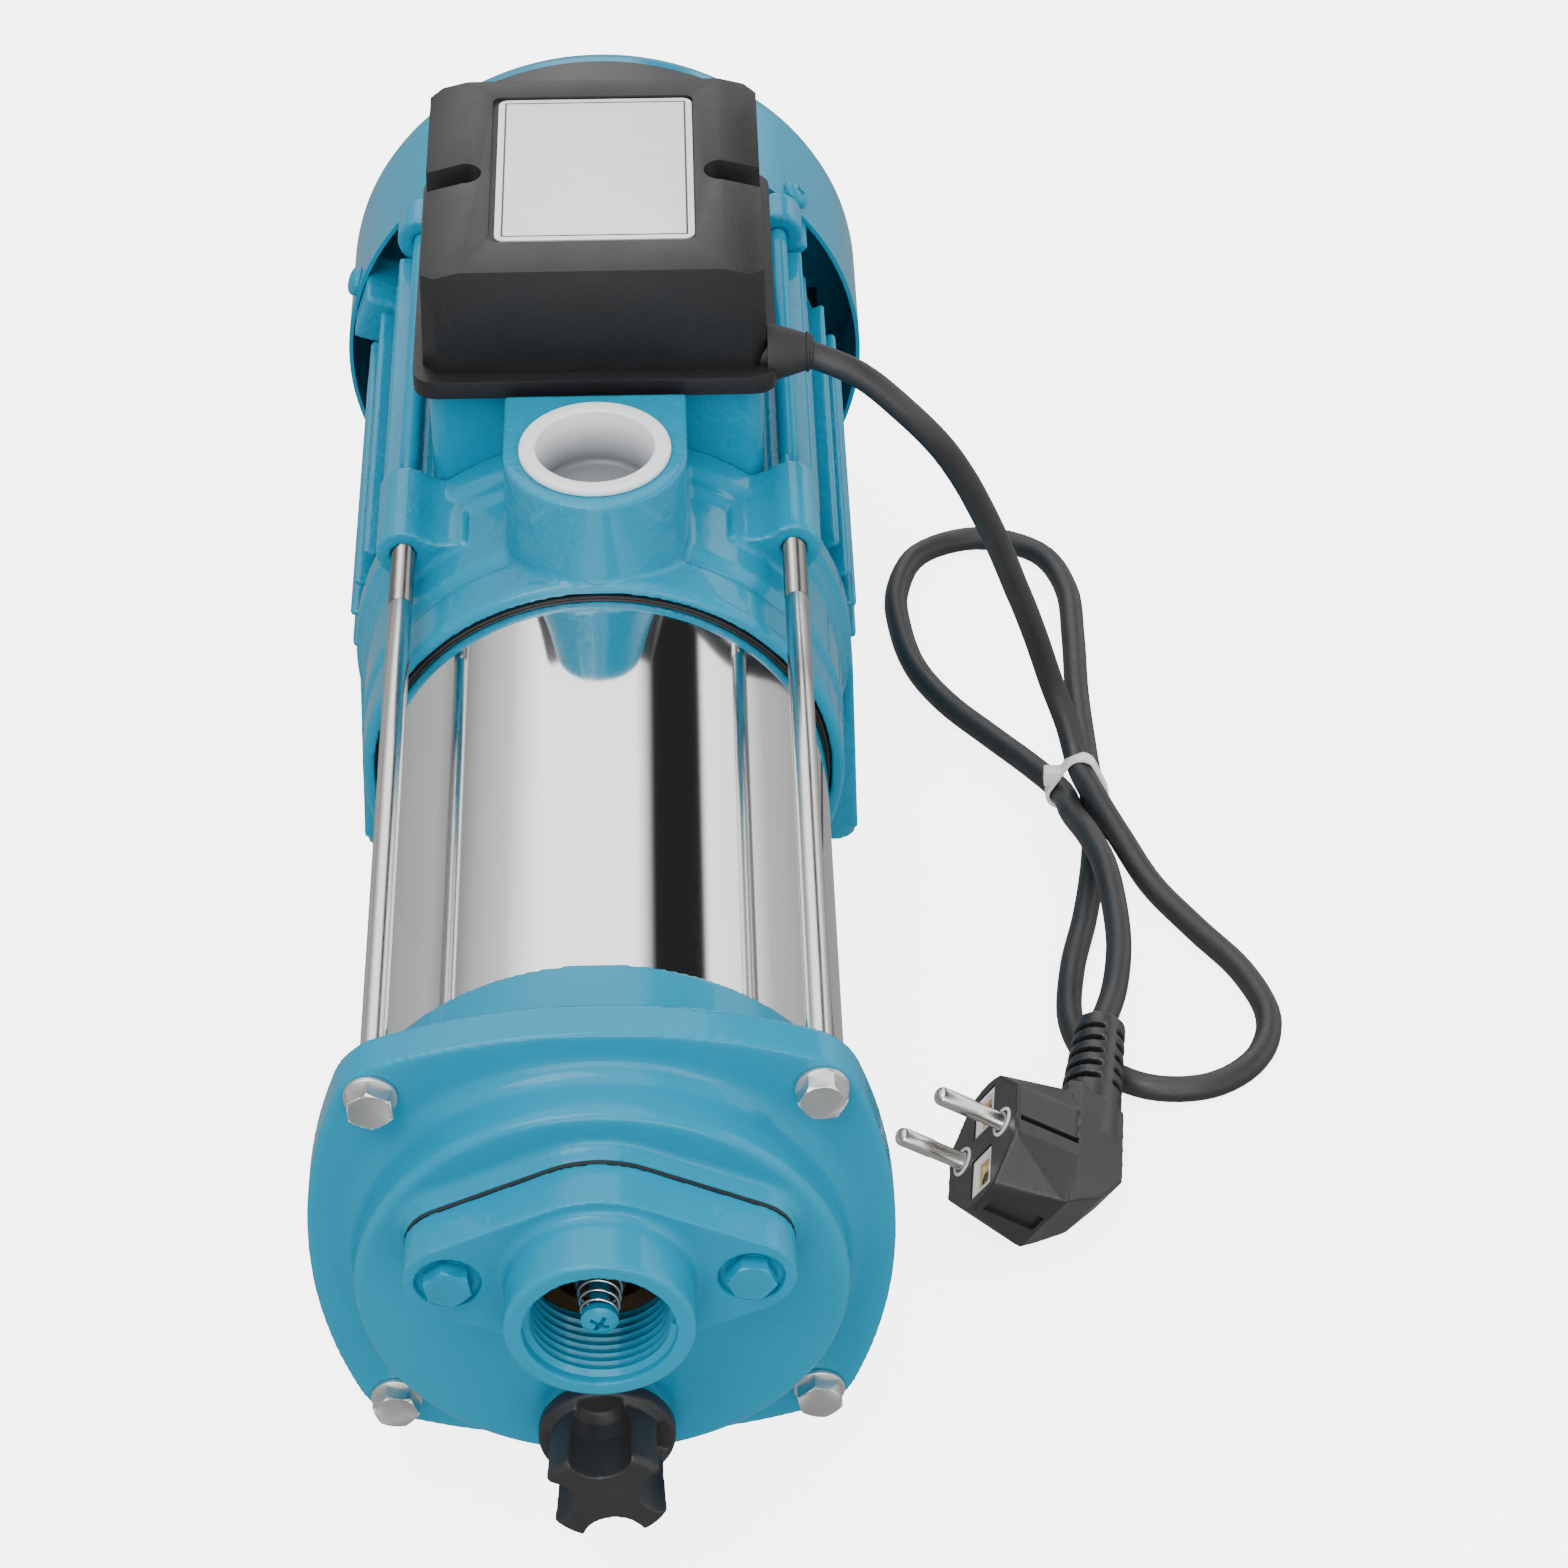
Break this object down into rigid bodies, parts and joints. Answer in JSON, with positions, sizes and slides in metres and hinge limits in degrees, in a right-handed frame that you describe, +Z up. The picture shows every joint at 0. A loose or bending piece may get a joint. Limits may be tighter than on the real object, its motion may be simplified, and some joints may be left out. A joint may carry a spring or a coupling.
{
  "type": "multistage centrifugal pump",
  "caption": "Horizontal multistage centrifugal water pump: polished barrel between blue castings and tie bolts, finned motor, terminal box, cord and angled plug.",
  "frame": {"origin": "centre of the foot's base face, on the floor", "axes": "+Y along the shaft from the suction port to the motor, +Z up, +X to the side where the cord leaves the terminal box"},
  "size_m": [0.2509, 0.4475, 0.1962],
  "materials": {
    "blue_cast": "glossy cyan-blue paint over an aluminium casting",
    "blue_sheet": "glossy cyan-blue paint over pressed steel",
    "blue_fastener": "glossy cyan-blue paint over steel",
    "stainless": "bright stainless steel",
    "polished_tube": "mirror-polished stainless tube",
    "steel": "ground steel",
    "laminations": "stacked electrical steel",
    "copper": "varnished copper winding",
    "black_rubber": "matt black rubber",
    "black_plastic": "satin black moulded plastic",
    "noryl": "moulded technical plastic",
    "grey_plastic": "moulded grey plastic",
    "brass": "turned brass",
    "white_plastic": "translucent white polyethylene",
    "white_nylon": "white nylon",
    "ceramic": "lapped ceramic",
    "nickel": "nickel-plated brass",
    "can": "drawn aluminium can"
  },
  "bodies": {
    "pump": {"front_casing": "blue_cast", "suction_flange": "blue_cast", "flange_gasket": "black_rubber", "flange_bolts": "blue_fastener", "valve_seat": "brass", "tie_bolts": "stainless", "tie_washers": "stainless", "barrel": "polished_tube", "barrel_seals": "black_rubber", "inlet_plate": "grey_plastic", "stage_bowls": "grey_plastic", "seal_seat": "ceramic", "discharge_casting": "blue_cast", "front_bearing_outer": "steel", "rear_bearing_outer": "steel", "motor_frame": "blue_cast", "stator_core": "laminations", "windings": "copper", "rear_shield": "blue_cast", "motor_studs": "blue_fastener", "stud_nuts": "blue_fastener", "fan_cover": "blue_sheet", "cover_screws": "blue_fastener", "foot": "blue_cast", "foot_screws": "stainless", "box_base": "black_plastic", "box_gasket": "black_rubber", "box_lid": "black_plastic", "box_screws": "stainless", "capacitor": "can", "terminal_block": "white_nylon", "cable_gland": "black_rubber", "power_cord": "black_rubber", "cable_tie": "white_nylon", "plug_body": "black_rubber", "plug_pins": "nickel", "earth_contacts": "nickel"},
    "rotor": {"shaft": "steel", "impellers": "noryl", "impeller_nut": "brass", "seal_head": "stainless", "slinger": "black_rubber", "rotor_core": "laminations", "front_bearing_inner": "steel", "rear_bearing_inner": "steel", "bearing_balls": "steel", "fan": "black_plastic", "fan_clip": "steel"},
    "check_valve": {"valve_stem": "blue_fastener", "valve_disc": "black_rubber", "valve_spring": "stainless"},
    "outlet_plug": {"outlet_cap": "white_plastic"},
    "drain_carrier": {"drain_seal": "black_rubber"},
    "drain_knob": {"drain_plug": "black_plastic"}
  },
  "joints": [
    {"name": "rotor_spin", "type": "hinge", "parent": "pump", "child": "rotor", "pos_m": [0, 0, 0.08], "axis": [0, 1, 0], "continuous": true},
    {"name": "valve_lift", "type": "slide", "parent": "pump", "child": "check_valve", "axis": [0, 1, 0], "range_m": [0, 0.005], "stiffness_N_per_m": 150, "deforming": ["valve_spring"]},
    {"name": "cap_pull", "type": "slide", "parent": "pump", "child": "outlet_plug", "axis": [0, 0, 1], "range_m": [0, 0.03]},
    {"name": "drain_out", "type": "slide", "parent": "pump", "child": "drain_carrier", "axis": [0, -1, 0], "range_m": [0, 0.02]},
    {"name": "drain_turn", "type": "hinge", "parent": "drain_carrier", "child": "drain_knob", "pos_m": [0, -0.295, 0.04], "axis": [0, -1, 0], "range_deg": [0, 3600]}
  ],
  "couplings": [
    {"joint": "drain_out", "follows": "drain_turn", "m_per_rad": 0.000318}
  ]
}
